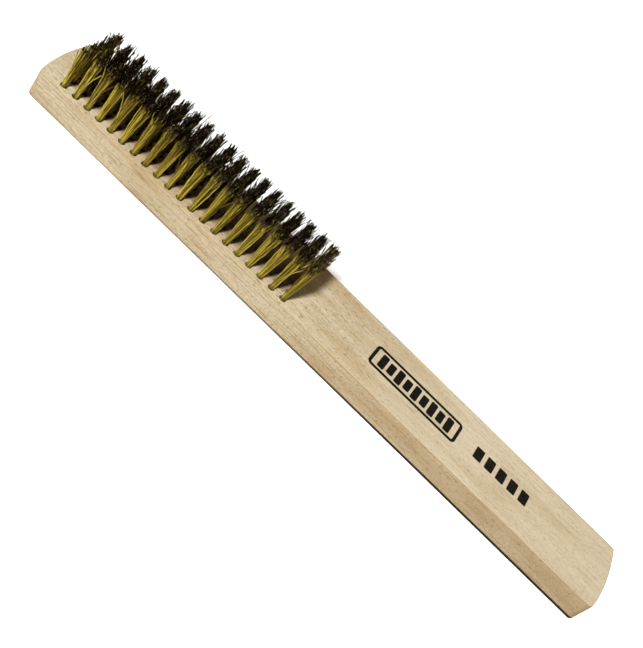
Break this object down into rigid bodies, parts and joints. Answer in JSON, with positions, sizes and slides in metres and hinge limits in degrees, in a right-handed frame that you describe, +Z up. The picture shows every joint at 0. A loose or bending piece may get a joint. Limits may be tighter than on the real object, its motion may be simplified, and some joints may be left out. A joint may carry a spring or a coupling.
{
  "type": "wire scratch brush",
  "caption": "Hand scratch brush: a flat wooden block with crowned ends, half handle and half a short field of splayed brass wire tufts set in blind holes.",
  "frame": {"origin": "middle of the back of the block, on the surface that it lies on", "axes": "+X from the head end to the tail end, +Y across the block towards the long side with the wider margin beside the tufts, +Z up along the wires"},
  "size_m": [0.29, 0.036, 0.031],
  "materials": {
    "beech": "sanded, unvarnished",
    "brass_wire": "drawn wire, cut tips"
  },
  "bodies": {
    "root": {"handle": "beech", "tuft_column_01": "brass_wire", "tuft_column_02": "brass_wire", "tuft_column_03": "brass_wire", "tuft_column_04": "brass_wire", "tuft_column_05": "brass_wire", "tuft_column_06": "brass_wire", "tuft_column_07": "brass_wire", "tuft_column_08": "brass_wire", "tuft_column_09": "brass_wire", "tuft_column_10": "brass_wire", "tuft_column_11": "brass_wire", "tuft_column_12": "brass_wire", "tuft_column_13": "brass_wire", "tuft_column_14": "brass_wire", "tuft_column_15": "brass_wire", "tuft_column_16": "brass_wire", "tuft_column_17": "brass_wire", "tuft_column_18": "brass_wire", "tuft_column_19": "brass_wire", "tuft_column_20": "brass_wire"}
  },
  "joints": []
}
